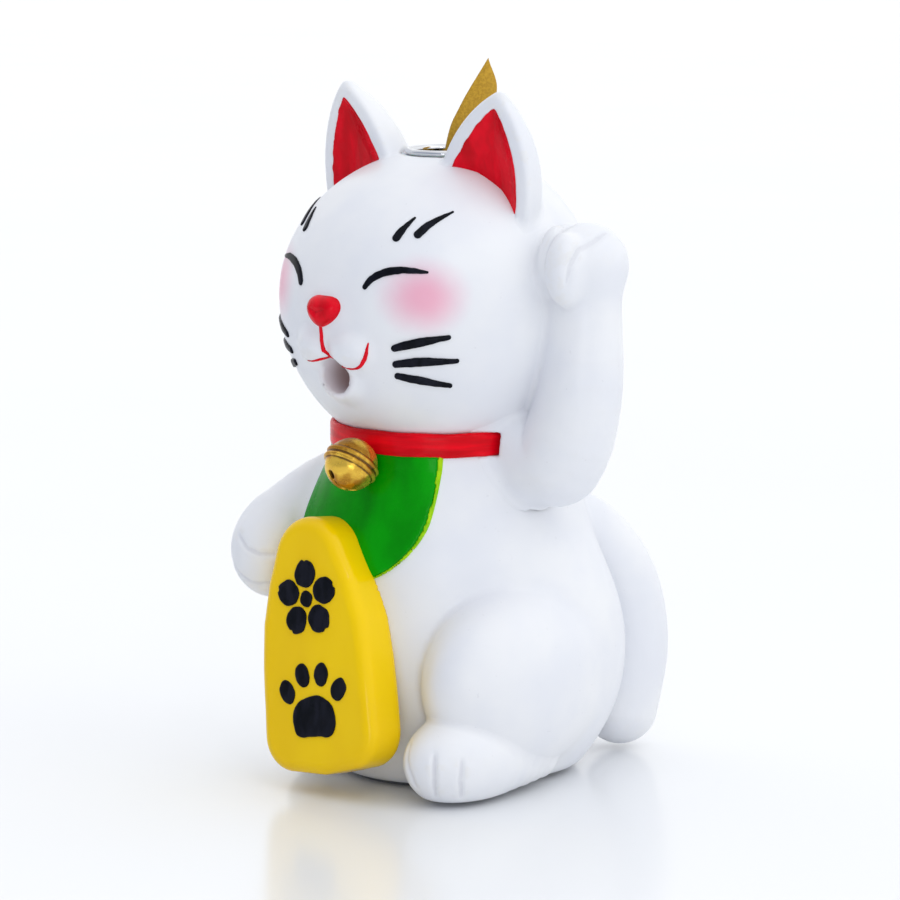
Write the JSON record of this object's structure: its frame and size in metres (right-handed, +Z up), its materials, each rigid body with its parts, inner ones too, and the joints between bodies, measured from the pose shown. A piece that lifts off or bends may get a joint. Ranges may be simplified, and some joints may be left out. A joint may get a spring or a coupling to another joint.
{
  "type": "beckoning cat figurine",
  "caption": "Seated beckoning cat with one paw raised and a gold coin held to its chest, hollow, with a lift-out metal cup in the crown and a gilded leaf standing in it.",
  "frame": {"origin": "on the floor under the neck's axis, at the foot pad's underside", "axes": "+Z up, the cat faces -Y, the raised paw is on +X"},
  "size_m": [0.1161, 0.1292, 0.2146],
  "materials": {
    "white_glaze": "satin white paint over cast resin, pink sprayed cheeks on the head",
    "red_enamel": "brushed gloss red enamel",
    "black_enamel": "brushed gloss black enamel",
    "green_enamel": "brushed gloss green enamel",
    "lime_enamel": "gloss yellow-green enamel",
    "yellow_enamel": "brushed gloss golden-yellow enamel",
    "antique_gold": "gold paint with a brown wash",
    "polished_steel": "polished",
    "silicone": "cloudy translucent silicone",
    "gilt_leaf": "dried leaf, gilded, matte and speckled",
    "base_board": "dark pressed board",
    "felt": "black felt"
  },
  "bodies": {
    "figure": {"torso_shell": "white_glaze", "head_shell": "white_glaze", "ear_left": "white_glaze", "ear_right": "white_glaze", "raised_arm": "white_glaze", "holding_arm": "white_glaze", "foot_left": "white_glaze", "foot_right": "white_glaze", "tail": "white_glaze", "ear_lining_left": "red_enamel", "ear_lining_right": "red_enamel", "collar": "red_enamel", "nose": "red_enamel", "mouth_lines": "red_enamel", "eye_lines": "black_enamel", "brow_marks": "black_enamel", "whisker_marks": "black_enamel", "coin_ornament": "black_enamel", "bib": "green_enamel", "bib_trim": "lime_enamel", "coin": "yellow_enamel", "bell": "antique_gold", "cup_gasket": "silicone", "base_plate": "base_board", "base_felt": "felt"},
    "cup": {"steel_cup": "polished_steel"},
    "leaf": {"gold_leaf": "gilt_leaf"}
  },
  "joints": [
    {"name": "cup_lift", "type": "slide", "parent": "figure", "child": "cup", "axis": [0, 0, 1], "range_m": [0, 0.075]},
    {"name": "leaf_lift", "type": "slide", "parent": "cup", "child": "leaf", "axis": [0, 0, 1], "range_m": [0, 0.07]}
  ]
}
